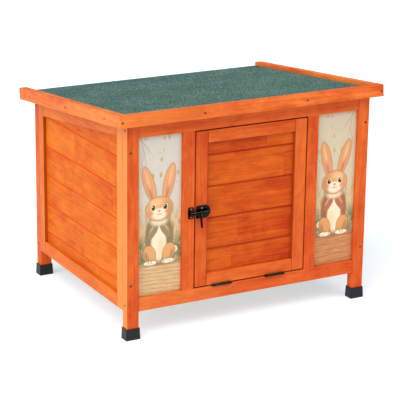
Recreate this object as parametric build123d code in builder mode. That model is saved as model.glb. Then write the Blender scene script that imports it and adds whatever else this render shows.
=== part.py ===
from build123d import *
import os
from math import cos, radians, sin, tan

os.makedirs("parts", exist_ok=True)

# A small pitched-roof rabbit hutch of stained softwood, in millimetres.
# +X is the hutch's right as seen from the front, +Y is its back and +Z is up.
# The origin is on the floor, under the middle of the whole hutch, roof included.
# The door drops open on its bottom edge, and the roof lifts on hinges at its back edge.

# ---- Driving dimensions: body -------------------------------------------------------
body_width = 608
body_depth = 487
seat_height = 486.5  # height of the roof seat at the front face
roof_slope = 6  # degrees, falling to the back
frame_bottom = 63
leg_width = 28
leg_depth = 20
stile_width = 28
rail_height = 30
wall_bar_thickness = 18  # side and back frames
front_top_rail_height = 35  # at the front face
side_rail_front_height = 32.5  # the side top rails are wider at the back than in front
side_rail_back_height = 40.4
back_top_rail_height = 35.3  # at the back face

# ---- Boards and panels --------------------------------------------------------------
board_thickness = 7
board_recess = 7  # from the frame's face to the boards' face, on the walls
groove_depth = 6
board_gap = 0.2
board_chamfer = 1.2
tongue_thickness = 2.4
tongue_height = 4
narrowest_board = 12
wall_board_pitch = 69.8
wall_first_line = 26  # height of the lowest joint above the bottom rail
panel_thickness = 5
panel_recess = 8
fit_gap = 0.5  # slack at the edges of boards and panels in their grooves

# ---- Door ---------------------------------------------------------------------------
doorway_half_width = 142
mid_stile_width = 28
door_gap = 3
door_thickness = 18
door_stile_width = 29
door_rail_height = 27
door_board_recess = 8
door_board_pitch = 71.5
door_first_line = 81  # above the door's bottom edge

# ---- Floor --------------------------------------------------------------------------
floor_thickness = 9
batten_size = 18

# ---- Feet ---------------------------------------------------------------------------
cap_height = 25.3
cap_wall = 2.2
cap_flare = 1
cap_base = 3
cap_corner = 1.5

# ---- Roof ---------------------------------------------------------------------------
side_trim_thickness = 18
side_trim_gap = 6.5  # from the legs to the side trims
front_trim_thickness = 16
front_trim_gap = 2.6
roof_back_overhang = 31.8
roof_clearance = 0.4
deck_thickness = 9
deck_board_count = 5
felt_thickness = 2
felt_lap = 11  # the felt's turned-down back edge
trim_height = 27
trim_drop = 7  # how far the trims hang below the deck
roof_batten_width = 22
roof_batten_thickness = 15
roof_batten_spacing = 210
roof_batten_margin = 8  # clear of the rails inside the body

# ---- Hinges -------------------------------------------------------------------------
hinge_length = 48
knuckle_length = 15.7
knuckle_radius = 2.8
knuckle_gap = 0.4
leaf_thickness = 1.2
leaf_width = 20
pin_radius = 1.2
pin_play = 0.05
pin_head_radius = 2
pin_head_height = 1
door_pin_clearance = 0.2  # from the knuckles to the door's face
roof_pin_clearance = 0.6
roof_hinge_spacing = 360
door_hinge_spacing = 136
door_hinge_offset = -4  # the pair sits slightly off the door's middle

# ---- Bolt ---------------------------------------------------------------------------
bolt_rise = 172.5  # from the door's bottom edge to the rod's axis
bolt_plate_width = 35
bolt_plate_height = 29
bolt_plate_inset = 1.5  # from the door's edge to the plate
bolt_sheet = 1.2
bolt_plate_corner = 4
housing_wall = 1.5
guide_length = 1.5
barrel_length = 12.5
barrel_margin = 8.5  # from the barrel to the plate's round end
rod_radius = 3.6
rod_shoulder = 0.8  # how much thinner the rod's neck is, in radius
rod_tip_chamfer = 0.8
rod_play = 0.08
rod_tip_gap = 0.6  # between the rod's tip and the keeper's loop, when drawn
keeper_width = 13.5
keeper_height = 26
keeper_corner = 3
keeper_loop_length = 8
keeper_loop_inset = 1.5  # from the keeper's outer edge to its loop
keeper_play = 0.9
keeper_wall = 1.2
keeper_edge = 1.7  # from the mid stile's edge to the keeper
eye_radius = 5.4
eye_length = 5
eye_clearance = 0.8  # from the eye to the plate behind it
eye_inset = 7.5  # from the plate's free end to the eye's middle
eye_side_play = 0.3
handle_radius = 2.4
handle_length = 33
handle_lean = 12  # degrees, outwards from straight down
handle_tip_fillet = 1.5

# ---- Screws -------------------------------------------------------------------------
screw_play = 0.05
leg_screw = dict(head_radius=2.9, head_depth=2.2, shank_radius=1.6, sink=0.5)
rail_screw = leg_screw | dict(length=leg_width + 17)
stile_screw_clearance = 4  # from the screws' tips to the boards' grooves
stile_screw_reach = leg_depth + stile_width - groove_depth - stile_screw_clearance
stile_screw = leg_screw | dict(length=stile_screw_reach)
trim_screw = dict(head_radius=2.6, head_depth=2, shank_radius=1.5, length=28, sink=0.5)
small_screw = dict(head_radius=2.3, head_depth=1.2, shank_radius=1.1, length=11, sink=0)
roof_leaf_screw = small_screw | dict(length=6)
fitting_screw = dict(head_radius=2.4, head_depth=1.4, shank_radius=1.1, length=11, sink=-2)
head_rim = 0.3
slot_width = 0.7
slot_depth = 0.7
slot_share = 1.3  # the cross slot's length over the head's radius
leg_screw_offset = 31  # from the doorway's top and bottom to the screws in the legs' faces
front_trim_inner_screw = 128
front_trim_outer_margin = 6
side_trim_screw_margin = 59
hinge_screw_spacing = 34
hinge_screw_reach = 13
bolt_screw_clearance = 0.5  # from the screws' heads to the housings
bolt_screw_inset = 13.5

# ---- Derived places -----------------------------------------------------------------
slope = radians(roof_slope)
roof_front_overhang = front_trim_thickness + front_trim_gap
roof_width = body_width + 2 * (side_trim_thickness + side_trim_gap)
roof_length = (body_depth / cos(slope)) + roof_front_overhang + roof_back_overhang
roof_top = trim_height - trim_drop
front_reach = roof_front_overhang * cos(slope) + trim_drop * sin(slope)
back_reach = (roof_length - roof_front_overhang) * cos(slope) + roof_top * sin(slope)
front_y = (front_reach - back_reach) / 2
back_y = front_y + body_depth
half_width = body_width / 2
leg_inner = half_width - leg_width
bottom_rail_top = frame_bottom + rail_height
mid_stile_outer = doorway_half_width + mid_stile_width
wall_inner = half_width - wall_bar_thickness
door_half_width = doorway_half_width - door_gap
door_bottom = bottom_rail_top + door_gap
front_top_rail_bottom = seat_height - front_top_rail_height
door_top = front_top_rail_bottom - door_gap
door_pin_proud = knuckle_radius + door_pin_clearance
door_pin = (front_y - door_pin_proud, bottom_rail_top + door_gap / 2)
door_hinge_x = [door_hinge_offset + side * door_hinge_spacing / 2 for side in (-1, 1)]
SIDES = (("left", -1), ("right", 1))


def middle(span):
    return (span[0] + span[1]) / 2


def length(span):
    return span[1] - span[0]


def mirrored(span, side):
    """A span on the hutch's right, moved to the side asked for (-1 is left)."""
    return tuple(sorted(side * edge for edge in span))


def seat(y):
    """Height of the sloping seat that the roof rests over."""
    return seat_height - (y - front_y) * tan(slope)


wall_front = front_y + leg_depth
wall_back = back_y - leg_depth
stile_inner_front = wall_front + stile_width
stile_inner_back = wall_back - stile_width
side_rail_bottom_front = seat(stile_inner_front) - side_rail_front_height
side_rail_bottom_back = seat(stile_inner_back) - side_rail_back_height
back_top_rail_bottom = seat(back_y) - back_top_rail_height
bolt_height = door_bottom + bolt_rise
housing_radius = rod_radius + rod_play + housing_wall
keeper_bore = rod_radius + keeper_play
keeper_radius = keeper_bore + keeper_wall
bolt_screw_rise = keeper_radius + bolt_screw_clearance + fitting_screw["head_radius"]

roof_normal = Vector(0, sin(slope), cos(slope))
roof_down = Vector(0, cos(slope), -sin(slope))
roof_origin = Vector(0, front_y, seat_height) + roof_normal * roof_clearance
roof_plane = Plane(origin=roof_origin, x_dir=(1, 0, 0), z_dir=roof_normal)
roof_back = roof_length - roof_front_overhang


def save(name, piece):
    """Labels a finished piece and writes it under its own name."""
    piece.part.label = name
    export_step(piece.part, f"parts/{name}.step")


# ---- Shapes shared by many pieces ---------------------------------------------------
def block(x_span, y_span, z_span, cuts=()):
    """A square-sawn piece that fills three spans, less its grooves and holes."""
    with BuildPart() as piece:
        with BuildSketch(Plane.XY.offset(z_span[0])):
            with Locations((middle(x_span), middle(y_span))):
                Rectangle(length(x_span), length(y_span))
        extrude(amount=length(z_span))
        for cut in cuts:
            add(cut, mode=Mode.SUBTRACT)
    return piece


def side_profile(points, x_span, cuts=()):
    """A piece with an outline of (y, z) points, running straight across the hutch."""
    with BuildPart() as piece:
        with BuildSketch(Plane.YZ.offset(x_span[0])):
            with BuildLine():
                Polyline(*points, close=True)
            make_face()
        extrude(amount=length(x_span))
        for cut in cuts:
            add(cut, mode=Mode.SUBTRACT)
    return piece


def under_roof(x_span, y_span, low, cuts=()):
    """An upright or rail whose top is cut to the roof's slope."""
    front, back = y_span
    outline = [(front, low), (back, low), (back, seat(back)), (front, seat(front))]
    return side_profile(outline, x_span, cuts)


def roof_block(x_span, v_span, w_span, cuts=()):
    """A piece of the roof: v runs down the slope from the front face, w up from the deck."""
    with BuildPart() as piece:
        with BuildSketch(roof_plane.offset(w_span[0])):
            with Locations((middle(x_span), middle(v_span))):
                Rectangle(length(x_span), length(v_span))
        extrude(amount=length(w_span))
        for cut in cuts:
            add(cut, mode=Mode.SUBTRACT)
    return piece


def board_lines(low, high, first, pitch):
    """Heights of the joints between boards, with no sliver left at either end."""
    lines = [low]
    height = first
    while height < high - narrowest_board:
        if height > low + narrowest_board:
            lines.append(height)
        height += pitch
    lines.append(high)
    return lines


def board_section(low, high, has_tongue):
    """Outline of one matched board: V edges in front, groove below, tongue on top."""
    near = (board_thickness - tongue_thickness) / 2
    far = near + tongue_thickness
    groove_near = near - board_gap
    groove_far = far + board_gap
    groove_top = low + tongue_height + 2 * board_gap
    outline = [(0, low + board_chamfer), (0, high - board_chamfer), (board_chamfer, high)]
    if has_tongue:
        tip = high + tongue_height
        outline += [(near, high), (near, tip), (far, tip), (far, high)]
    outline += [(board_thickness, high), (board_thickness, low), (groove_far, low)]
    outline += [(groove_far, groove_top), (groove_near, groove_top), (groove_near, low)]
    outline.append((board_chamfer, low))
    return outline


def matched_boards(corner, inward, run, lines, clip=None):
    """Horizontal boards as separate solids; corner is their outer face's end, in plan."""
    along = Vector(*inward, 0).cross(Vector(0, 0, 1))
    face = Plane(origin=(*corner, 0), x_dir=(*inward, 0), z_dir=along)
    with BuildPart() as boards:
        for low, high in zip(lines, lines[1:]):
            with BuildSketch(face):
                with BuildLine():
                    edges = (low + board_gap / 2, high - board_gap / 2)
                    Polyline(*board_section(*edges, high != lines[-1]), close=True)
                make_face()
            extrude(amount=run)
        if clip is not None:
            add(clip, mode=Mode.INTERSECT)
    return boards


def screw_solid(head_radius, head_depth, shank_radius, length, sink, play=0):
    """One countersunk screw pointing down from the surface at z = 0, or with play its hole."""
    top = max(0, -sink) if play else -sink
    head = head_radius + play
    shank = shank_radius + play
    taper_end = -sink - head_depth
    outline = [(0, top), (head, top), (head, -sink - head_rim), (shank, taper_end)]
    outline += [(shank, -sink - length), (0, -sink - length)]
    with BuildPart() as screw:
        with BuildSketch(Plane.XZ):
            with BuildLine():
                Polyline(*outline, close=True)
            make_face()
        revolve(axis=Axis.Z)
        if not play:
            with BuildSketch(Plane.XY.offset(top)):
                Rectangle(head_radius * slot_share, slot_width)
                Rectangle(slot_width, head_radius * slot_share)
            extrude(amount=-slot_depth, mode=Mode.SUBTRACT)
    return screw.part


def screws(kind, planes):
    """A group of equal screws, each driven into the surface that its plane lies on."""
    solid = screw_solid(**kind)
    with BuildPart() as group:
        with Locations(*planes):
            add(solid)
    return group


def screw_holes(kind, planes):
    """The holes that a group of screws needs, to be cut from what they pass through."""
    solid = screw_solid(**kind, play=screw_play)
    with BuildPart() as group:
        with Locations(*planes):
            add(solid)
    return group.part


def facing(point, outward):
    """A plane on a surface at a point, its z axis pointing out of the surface."""
    return Plane(origin=point, z_dir=outward)


# ---- Screw places -------------------------------------------------------------------
def rail_screw_planes():
    """Screws driven sideways through the legs into the ends of the rails."""
    planes = []
    rail_middle = frame_bottom + rail_height / 2
    front_mid = front_y + leg_depth / 2
    back_mid = back_y - leg_depth / 2
    front_top = (front_top_rail_bottom + seat(front_mid)) / 2
    back_top = (back_top_rail_bottom + seat(back_mid)) / 2
    for _, side in SIDES:
        for y, top in ((front_mid, front_top), (back_mid, back_top)):
            for z in (rail_middle, top):
                planes.append(facing((side * half_width, y, z), (side, 0, 0)))
    return planes


def stile_screw_planes():
    """Screws driven through the legs' front and back faces into the side stiles."""
    planes = []
    stile_x = half_width - wall_bar_thickness / 2
    for _, side in SIDES:
        heights = (bottom_rail_top + leg_screw_offset, front_top_rail_bottom - leg_screw_offset)
        for z in heights:
            planes.append(facing((side * stile_x, front_y, z), (0, -1, 0)))
            back_z = z * seat(back_y) / seat_height
            planes.append(facing((side * stile_x, back_y, back_z), (0, 1, 0)))
    return planes


def trim_screw_planes():
    """Screws through the roof trims into the edges of the deck."""
    planes = []
    rise = deck_thickness / 2
    side_places = (
        side_trim_screw_margin,
        roof_back / 2,
        roof_back - side_trim_screw_margin,
    )
    for _, side in SIDES:
        for x in (front_trim_inner_screw, roof_width / 2 - front_trim_outer_margin):
            along = roof_plane.from_local_coords(Vector(side * x, -roof_front_overhang, rise))
            planes.append(facing(along, -roof_down))
        for v in side_places:
            along = roof_plane.from_local_coords(Vector(side * roof_width / 2, v, rise))
            planes.append(facing(along, (side, 0, 0)))
    return planes


rail_screw_holes = screw_holes(rail_screw, rail_screw_planes())
stile_screw_holes = screw_holes(stile_screw, stile_screw_planes())
leg_screw_holes = rail_screw_holes + stile_screw_holes
trim_screws = screws(trim_screw, trim_screw_planes())
trim_screw_holes = screw_holes(trim_screw, trim_screw_planes())


# ---- Hinges: a pin along x, two leaves and three knuckles ---------------------------
def knuckle_spans():
    """Places of the knuckles along the pin: the outer pair, then the middle one."""
    outer_start = hinge_length / 2 - knuckle_length
    outer = [(-hinge_length / 2, -outer_start), (outer_start, hinge_length / 2)]
    inner_half = outer_start - knuckle_gap
    return outer, [(-inner_half, inner_half)]


def leaf_plane(pin_point, along, surface):
    """The plane of a leaf: origin on the pin, y along the leaf, z towards its surface."""
    return Plane(origin=pin_point, x_dir=Vector(along).cross(Vector(surface)), z_dir=surface)


def leaf_screw_planes(place, distance):
    """Two screws through a leaf, driven towards the surface it lies on."""
    planes = []
    for x in (-hinge_screw_spacing / 2, hinge_screw_spacing / 2):
        spot = Vector(x, hinge_screw_reach, distance - leaf_thickness)
        planes.append(facing(place.from_local_coords(spot), -place.z_dir))
    return planes


def hinge_leaves(places, spans, distance, holes):
    """Leaves of one kind, each with its own knuckles; distance is from pin to surface."""
    reach = knuckle_radius + knuckle_gap
    with BuildPart() as leaves:
        for place in places:
            with BuildSketch(place.offset(distance - leaf_thickness)):
                with Locations((0, (reach + leaf_width) / 2)):
                    Rectangle(hinge_length, leaf_width - reach)
                for span in spans:
                    with Locations((middle(span), reach / 2)):
                        Rectangle(length(span), reach)
            extrude(amount=leaf_thickness)
            across = Plane(origin=place.origin, x_dir=place.y_dir, z_dir=place.x_dir)
            for span in spans:
                with BuildSketch(across.offset(span[0])):
                    Circle(knuckle_radius)
                extrude(amount=length(span))
            with BuildSketch(across.offset(-hinge_length / 2)):
                Circle(pin_radius + pin_play)
            extrude(amount=hinge_length, mode=Mode.SUBTRACT)
        add(holes, mode=Mode.SUBTRACT)
    return leaves


def hinge_pins(pin_points):
    """Pins with a flat head at each end, bearing on the outer knuckles."""
    with BuildPart() as pins:
        for point in pin_points:
            across = Plane(origin=point, x_dir=(0, 1, 0), z_dir=(1, 0, 0))
            with BuildSketch(across.offset(-hinge_length / 2)):
                Circle(pin_radius)
            extrude(amount=hinge_length)
            for start in (-hinge_length / 2 - pin_head_height, hinge_length / 2):
                with BuildSketch(across.offset(start)):
                    Circle(pin_head_radius)
                extrude(amount=pin_head_height)
    return pins


outer_knuckles, inner_knuckle = knuckle_spans()
UP = Vector(0, 0, 1)
BACK = Vector(0, 1, 0)

door_pins = [Vector(x, *door_pin) for x in door_hinge_x]
door_frame_places = [leaf_plane(pin, BACK, -UP) for pin in door_pins]
door_moving_places = [leaf_plane(pin, BACK, UP) for pin in door_pins]
door_frame_screws = sum((leaf_screw_planes(p, door_gap / 2) for p in door_frame_places), [])
door_moving_screws = sum((leaf_screw_planes(p, door_gap / 2) for p in door_moving_places), [])
door_frame_holes = screw_holes(small_screw, door_frame_screws)
door_moving_holes = screw_holes(small_screw, door_moving_screws)

roof_pin_distance = knuckle_radius + roof_pin_clearance
roof_pin_y = back_y + roof_pin_distance
roof_pin_z = seat(roof_pin_y) + (roof_clearance - roof_pin_distance) / cos(slope)
roof_pins = [Vector(side * roof_hinge_spacing / 2, roof_pin_y, roof_pin_z) for _, side in SIDES]
roof_frame_places = [leaf_plane(pin, -UP, -BACK) for pin in roof_pins]
roof_moving_places = [leaf_plane(pin, roof_down, roof_normal) for pin in roof_pins]
roof_frame_screws = sum((leaf_screw_planes(p, roof_pin_distance) for p in roof_frame_places), [])
roof_moving_screws = sum((leaf_screw_planes(p, roof_pin_distance) for p in roof_moving_places), [])
roof_frame_holes = screw_holes(small_screw, roof_frame_screws)
roof_moving_holes = screw_holes(roof_leaf_screw, roof_moving_screws)


# ---- Grooves ------------------------------------------------------------------------
def picture_groove(side):
    """The space that a picture panel takes, groove depth included."""
    x_span = mirrored((mid_stile_outer - groove_depth, leg_inner + groove_depth), side)
    face = front_y + panel_recess
    z_span = (bottom_rail_top - groove_depth, front_top_rail_bottom + groove_depth)
    return block(x_span, (face, face + panel_thickness), z_span).part


def side_board_outline(depth):
    """Outline in (y, z) of a side wall's boards, reaching into the frame by depth."""
    front = stile_inner_front
    back = stile_inner_back
    fall = (side_rail_bottom_front - side_rail_bottom_back) / (back - front)
    low = bottom_rail_top - depth
    return [
        (front - depth, low),
        (back + depth, low),
        (back + depth, side_rail_bottom_back + depth - fall * depth),
        (front - depth, side_rail_bottom_front + depth + fall * depth),
    ]


def side_board_span(side):
    outer = half_width - board_recess
    return mirrored((outer - board_thickness, outer), side)


back_board_half = leg_inner - stile_width
back_board_face = back_y - board_recess
back_groove = block(
    (-back_board_half - groove_depth, back_board_half + groove_depth),
    (back_board_face - board_thickness, back_board_face),
    (bottom_rail_top - groove_depth, back_top_rail_bottom + groove_depth),
).part
door_board_half = door_half_width - door_stile_width
door_board_face = front_y + door_board_recess
door_board_low = door_bottom + door_rail_height - groove_depth
door_board_high = door_top - door_rail_height + groove_depth
door_groove = block(
    (-door_board_half - groove_depth, door_board_half + groove_depth),
    (door_board_face, door_board_face + board_thickness),
    (door_board_low, door_board_high),
).part


# ---- Legs and foot caps -------------------------------------------------------------
def foot_cap(x_span, y_span):
    """A plastic cup pushed over the leg's end, flared where it meets the floor."""
    centre = (middle(x_span), middle(y_span))
    wide = 2 * (cap_wall + cap_flare)
    narrow = 2 * cap_wall
    with BuildPart() as cap:
        for height, extra in ((0, wide), (cap_height, narrow)):
            with BuildSketch(Plane.XY.offset(height)):
                with Locations(centre):
                    RectangleRounded(leg_width + extra, leg_depth + extra, cap_corner)
        loft()
        with BuildSketch(Plane.XY.offset(cap_base)):
            with Locations(centre):
                Rectangle(leg_width, leg_depth)
        extrude(amount=cap_height, mode=Mode.SUBTRACT)
    return cap


for side_name, side in SIDES:
    leg_x = mirrored((leg_inner, half_width), side)
    front_leg_y = (front_y, front_y + leg_depth)
    back_leg_y = (back_y - leg_depth, back_y)
    front_leg = under_roof(leg_x, front_leg_y, cap_base, (picture_groove(side), leg_screw_holes))
    save(f"front_{side_name}_leg", front_leg)
    save(f"back_{side_name}_leg", under_roof(leg_x, back_leg_y, cap_base, (leg_screw_holes,)))
    save(f"front_{side_name}_foot_cap", foot_cap(leg_x, front_leg_y))
    save(f"back_{side_name}_foot_cap", foot_cap(leg_x, back_leg_y))

with BuildPart() as leg_screws:
    add(screws(rail_screw, rail_screw_planes()).part)
    add(screws(stile_screw, stile_screw_planes()).part)
save("leg_screws", leg_screws)

# ---- Front frame --------------------------------------------------------------------
picture_grooves = [picture_groove(side) for _, side in SIDES]
front_bar_y = (front_y, front_y + leg_depth)
rail_x = (-leg_inner, leg_inner)
rail_z = (frame_bottom, bottom_rail_top)
front_rail_cuts = (*picture_grooves, leg_screw_holes)
front_bottom_cuts = (*front_rail_cuts, door_frame_holes)
save("front_bottom_rail", block(rail_x, front_bar_y, rail_z, front_bottom_cuts))
save("front_top_rail", under_roof(rail_x, front_bar_y, front_top_rail_bottom, front_rail_cuts))

keeper_face = (-doorway_half_width - keeper_edge - keeper_width, front_y, bolt_height)
keeper_screw_planes = [
    facing((keeper_face[0] + keeper_width / 2, front_y, bolt_height + rise), (0, -1, 0))
    for rise in (-bolt_screw_rise, bolt_screw_rise)
]
keeper_screw_holes = screw_holes(fitting_screw, keeper_screw_planes)

for side_name, side in SIDES:
    stile_x = mirrored((doorway_half_width, mid_stile_outer), side)
    stile_z = (bottom_rail_top, front_top_rail_bottom)
    stile_cuts = (picture_groove(side), keeper_screw_holes)
    save(f"{side_name}_mid_stile", block(stile_x, front_bar_y, stile_z, stile_cuts))
    panel_x = mirrored((mid_stile_outer - groove_depth, leg_inner + groove_depth), side)
    panel_x = (panel_x[0] + fit_gap, panel_x[1] - fit_gap)
    panel_y = (front_y + panel_recess, front_y + panel_recess + panel_thickness)
    panel_low = bottom_rail_top - groove_depth + fit_gap
    panel_high = front_top_rail_bottom + groove_depth - fit_gap
    save(f"{side_name}_picture_panel", block(panel_x, panel_y, (panel_low, panel_high)))

# ---- Side walls ---------------------------------------------------------------------
wall_line = bottom_rail_top + wall_first_line
for side_name, side in SIDES:
    wall_x = mirrored((wall_inner, half_width), side)
    side_groove = side_profile(side_board_outline(groove_depth), side_board_span(side)).part
    wall_cuts = (side_groove, leg_screw_holes)
    with BuildPart() as side_stiles:
        add(under_roof(wall_x, (wall_front, stile_inner_front), frame_bottom, wall_cuts).part)
        add(under_roof(wall_x, (stile_inner_back, wall_back), frame_bottom, wall_cuts).part)
    save(f"{side_name}_side_stiles", side_stiles)
    inner_y = (stile_inner_front, stile_inner_back)
    save(f"{side_name}_side_bottom_rail", block(wall_x, inner_y, rail_z, wall_cuts))
    top_rail = [
        (stile_inner_front, side_rail_bottom_front),
        (stile_inner_back, side_rail_bottom_back),
        (stile_inner_back, seat(stile_inner_back)),
        (stile_inner_front, seat(stile_inner_front)),
    ]
    save(f"{side_name}_side_top_rail", side_profile(top_rail, wall_x, wall_cuts))
    board_depth = groove_depth - fit_gap
    outline = side_board_outline(board_depth)
    limit = side_profile(outline, side_board_span(side)).part
    start = outline[1][0] if side < 0 else outline[0][0]
    face_x = side * (half_width - board_recess)
    run = outline[1][0] - outline[0][0]
    lines = board_lines(outline[0][1], outline[3][1], wall_line, wall_board_pitch)
    boards = matched_boards((face_x, start), (-side, 0), run, lines, limit)
    save(f"{side_name}_side_boards", boards)

# ---- Back wall ----------------------------------------------------------------------
back_bar_y = (back_y - wall_bar_thickness, back_y)
back_cuts = (back_groove, leg_screw_holes, roof_frame_holes)
with BuildPart() as back_stiles:
    for _, side in SIDES:
        stile_x = mirrored((back_board_half, leg_inner), side)
        add(block(stile_x, back_bar_y, (bottom_rail_top, back_top_rail_bottom), back_cuts).part)
save("back_stiles", back_stiles)
save("back_bottom_rail", block(rail_x, back_bar_y, rail_z, back_cuts))
save("back_top_rail", under_roof(rail_x, back_bar_y, back_top_rail_bottom, back_cuts))

back_half_run = back_board_half + groove_depth - fit_gap
back_lines = board_lines(
    bottom_rail_top - groove_depth + fit_gap,
    back_top_rail_bottom + groove_depth - fit_gap,
    wall_line,
    wall_board_pitch,
)
back_boards = matched_boards(
    (back_half_run, back_board_face), (0, -1), 2 * back_half_run, back_lines
)
save("back_boards", back_boards)

# ---- Floor --------------------------------------------------------------------------
floor_half = wall_inner - fit_gap
floor_back = back_y - max(leg_depth, wall_bar_thickness)
floor_y = (wall_front + fit_gap, floor_back - fit_gap)
floor_low = bottom_rail_top - floor_thickness
save("floor_panel", block((-floor_half, floor_half), floor_y, (floor_low, bottom_rail_top)))

with BuildPart() as floor_battens:
    batten_z = (floor_low - batten_size, floor_low)
    long_x = (-leg_inner + fit_gap, leg_inner - fit_gap)
    front_batten_y = (wall_front, wall_front + batten_size)
    back_inner = back_y - wall_bar_thickness
    back_batten_y = (back_inner - batten_size, back_inner)
    add(block(long_x, front_batten_y, batten_z).part)
    add(block(long_x, back_batten_y, batten_z).part)
    short_y = (front_batten_y[1] + fit_gap, back_batten_y[0] - fit_gap)
    for _, side in SIDES:
        short_x = mirrored((wall_inner - batten_size, wall_inner), side)
        add(block(short_x, short_y, batten_z).part)
save("floor_battens", floor_battens)

# ---- Door ---------------------------------------------------------------------------
door_y = (front_y, front_y + door_thickness)
plate_end = -door_half_width + bolt_plate_inset
plate_screw_planes = [
    facing((plate_end + bolt_screw_inset, front_y, bolt_height + rise), (0, -1, 0))
    for rise in (-bolt_screw_rise, bolt_screw_rise)
]
plate_screw_holes = screw_holes(fitting_screw, plate_screw_planes)
door_cuts = (door_groove, door_moving_holes, plate_screw_holes)

for side_name, side in SIDES:
    stile_x = mirrored((door_board_half, door_half_width), side)
    stile = block(stile_x, door_y, (door_bottom, door_top), door_cuts)
    save(f"door_{side_name}_stile", stile)
door_rail_x = (-door_board_half, door_board_half)
low_rail_z = (door_bottom, door_bottom + door_rail_height)
high_rail_z = (door_top - door_rail_height, door_top)
save("door_bottom_rail", block(door_rail_x, door_y, low_rail_z, door_cuts))
save("door_top_rail", block(door_rail_x, door_y, high_rail_z, door_cuts))

door_half_run = door_board_half + groove_depth - fit_gap
door_lines = board_lines(
    door_board_low + fit_gap,
    door_board_high - fit_gap,
    door_bottom + door_first_line,
    door_board_pitch,
)
door_boards = matched_boards(
    (-door_half_run, door_board_face), (0, 1), 2 * door_half_run, door_lines
)
save("door_boards", door_boards)

# ---- Door hinges --------------------------------------------------------------------
half_gap = door_gap / 2
frame_leaves = hinge_leaves(door_frame_places, outer_knuckles, half_gap, door_frame_holes)
moving_leaves = hinge_leaves(door_moving_places, inner_knuckle, half_gap, door_moving_holes)
save("door_hinge_frame_leaves", frame_leaves)
save("door_hinge_door_leaves", moving_leaves)
save("door_hinge_pins", hinge_pins(door_pins))
save("door_hinge_frame_screws", screws(small_screw, door_frame_screws))
save("door_hinge_door_screws", screws(small_screw, door_moving_screws))

# ---- Bolt ---------------------------------------------------------------------------
bolt_axis_proud = bolt_sheet + eye_radius + eye_clearance
bolt_axis_y = front_y - bolt_axis_proud
rod_neck_radius = rod_radius - rod_shoulder
eye_x = plate_end + eye_inset
along_bolt = Plane(origin=(0, bolt_axis_y, bolt_height), x_dir=(0, 1, 0), z_dir=(1, 0, 0))


def fitting_plate(outline, start, housings, radii, holes):
    """A pressed plate with raised housings around the rod, each from x to x."""
    outer, bore = radii
    face = Plane(origin=(start, front_y, bolt_height), x_dir=(1, 0, 0), z_dir=(0, -1, 0))
    with BuildPart() as fitting:
        with BuildSketch(face):
            add(outline)
        extrude(amount=bolt_sheet)
        for low, high in housings:
            with BuildSketch(along_bolt.offset(low)):
                Circle(outer)
                with Locations(((bolt_axis_proud - bolt_sheet) / 2, 0)):
                    Rectangle(bolt_axis_proud - bolt_sheet, 2 * outer)
            extrude(amount=high - low)
            with BuildSketch(along_bolt.offset(low)):
                Circle(bore)
            extrude(amount=high - low, mode=Mode.SUBTRACT)
        add(holes, mode=Mode.SUBTRACT)
    return fitting


def plate_outline():
    """The bolt's plate: square with rounded corners at one end, half round at the other."""
    end_radius = bolt_plate_height / 2
    square_width = bolt_plate_width - end_radius
    with BuildSketch() as outline:
        with Locations((square_width / 2, 0)):
            Rectangle(square_width, bolt_plate_height)
        with Locations((square_width, 0)):
            Circle(end_radius)
        fillet(outline.vertices().group_by(Axis.X)[0], radius=bolt_plate_corner)
    return outline.sketch


def keeper_outline():
    with BuildSketch() as outline:
        with Locations((keeper_width / 2, 0)):
            RectangleRounded(keeper_width, keeper_height, keeper_corner)
    return outline.sketch


barrel_end = plate_end + bolt_plate_width - barrel_margin
guide_span = (plate_end, plate_end + guide_length)
barrel_span = (barrel_end - barrel_length, barrel_end)
plate_radii = (housing_radius, rod_radius + rod_play)
bolt_plate = fitting_plate(
    plate_outline(), plate_end, (guide_span, barrel_span), plate_radii, plate_screw_holes
)
save("bolt_plate", bolt_plate)
save("bolt_plate_screws", screws(fitting_screw, plate_screw_planes))

loop_left = keeper_face[0] + keeper_loop_inset
loop_right = loop_left + keeper_loop_length
keeper_radii = (keeper_radius, keeper_bore)
bolt_keeper = fitting_plate(
    keeper_outline(), keeper_face[0], ((loop_left, loop_right),), keeper_radii, keeper_screw_holes
)
save("bolt_keeper", bolt_keeper)
save("bolt_keeper_screws", screws(fitting_screw, keeper_screw_planes))

rod_tip = loop_right + rod_tip_gap
neck = eye_length / 2 + eye_side_play
with BuildPart() as bolt_rod:
    with BuildSketch(along_bolt.offset(rod_tip)):
        Circle(rod_radius)
    extrude(amount=eye_x - neck - rod_tip)
    with BuildSketch(along_bolt.offset(eye_x - neck)):
        Circle(rod_neck_radius)
    extrude(amount=2 * neck)
    with BuildSketch(along_bolt.offset(eye_x + neck)):
        Circle(rod_radius)
    extrude(amount=barrel_end - eye_x - neck)
    chamfer(bolt_rod.edges().sort_by(Axis.X)[0], length=rod_tip_chamfer)
save("bolt_rod", bolt_rod)

lean = radians(handle_lean)
with BuildPart() as bolt_handle:
    with BuildSketch(along_bolt.offset(eye_x - eye_length / 2)):
        Circle(eye_radius)
    extrude(amount=eye_length)
    stem_start = (eye_x, bolt_axis_y, bolt_height)
    with BuildSketch(Plane(origin=stem_start, x_dir=(1, 0, 0), z_dir=(0, -sin(lean), -cos(lean)))):
        Circle(handle_radius)
    extrude(amount=handle_length)
    fillet(bolt_handle.edges().sort_by(Axis.Z)[0], radius=handle_tip_fillet)
    with BuildSketch(along_bolt.offset(eye_x - neck)):
        Circle(rod_neck_radius + rod_play)
    extrude(amount=2 * neck, mode=Mode.SUBTRACT)
save("bolt_handle", bolt_handle)

# ---- Roof ---------------------------------------------------------------------------
deck_half = roof_width / 2 - side_trim_thickness
deck_front = front_trim_thickness - roof_front_overhang
trim_w = (-trim_drop, roof_top)
deck_cuts = (trim_screw_holes, roof_moving_holes)

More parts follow.
